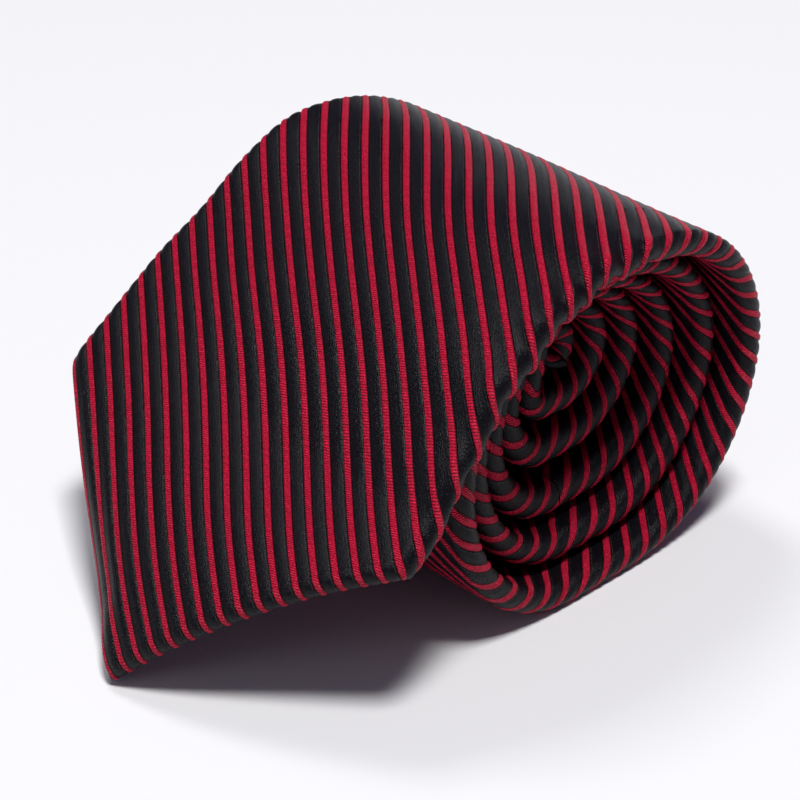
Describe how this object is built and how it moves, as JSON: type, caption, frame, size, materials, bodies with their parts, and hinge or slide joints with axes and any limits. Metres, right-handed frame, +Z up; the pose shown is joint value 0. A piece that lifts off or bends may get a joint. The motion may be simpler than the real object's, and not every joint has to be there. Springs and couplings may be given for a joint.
{
  "type": "necktie",
  "caption": "Striped necktie rolled up from its narrow end, with its wide pointed blade end leaning down as a flap that lifts.",
  "frame": {"origin": "centre of the flat on which the roll rests", "axes": "+Z up; Y along the roll's axis; the pointed blade end leans down towards -X"},
  "size_m": [0.1212, 0.085, 0.07],
  "materials": {
    "shell_cloth": "satin black and red diagonal rib",
    "interlining": "brushed wool blend",
    "tipping_cloth": "plain black lining",
    "sewing_thread": "black thread",
    "label_cloth": "blank woven ribbon"
  },
  "bodies": {
    "roll": {"blade_shell_roll": "shell_cloth", "neck_shell": "shell_cloth", "interlining_roll": "interlining", "tail_shell": "shell_cloth", "tail_interlining": "interlining", "tail_tipping": "tipping_cloth", "slip_stitch_thread": "sewing_thread", "tail_slip_stitch_thread": "sewing_thread", "blade_neck_seam_thread": "sewing_thread", "neck_tail_seam_thread": "sewing_thread", "tail_bar_tack": "sewing_thread", "keeper_loop": "shell_cloth", "keeper_loop_stitches": "sewing_thread", "blank_label": "label_cloth", "care_tag": "label_cloth", "label_stitches": "sewing_thread"},
    "blade_end": {"blade_shell_flap": "shell_cloth", "blade_interlining_flap": "interlining", "blade_tipping": "tipping_cloth", "tipping_stitches": "sewing_thread", "blade_bar_tack": "sewing_thread"}
  },
  "joints": [
    {"name": "blade_lift", "type": "hinge", "parent": "roll", "child": "blade_end", "pos_m": [-0.01506, 0, 0.06295], "axis": [0, 1, 0], "range_deg": [0, 60]}
  ]
}
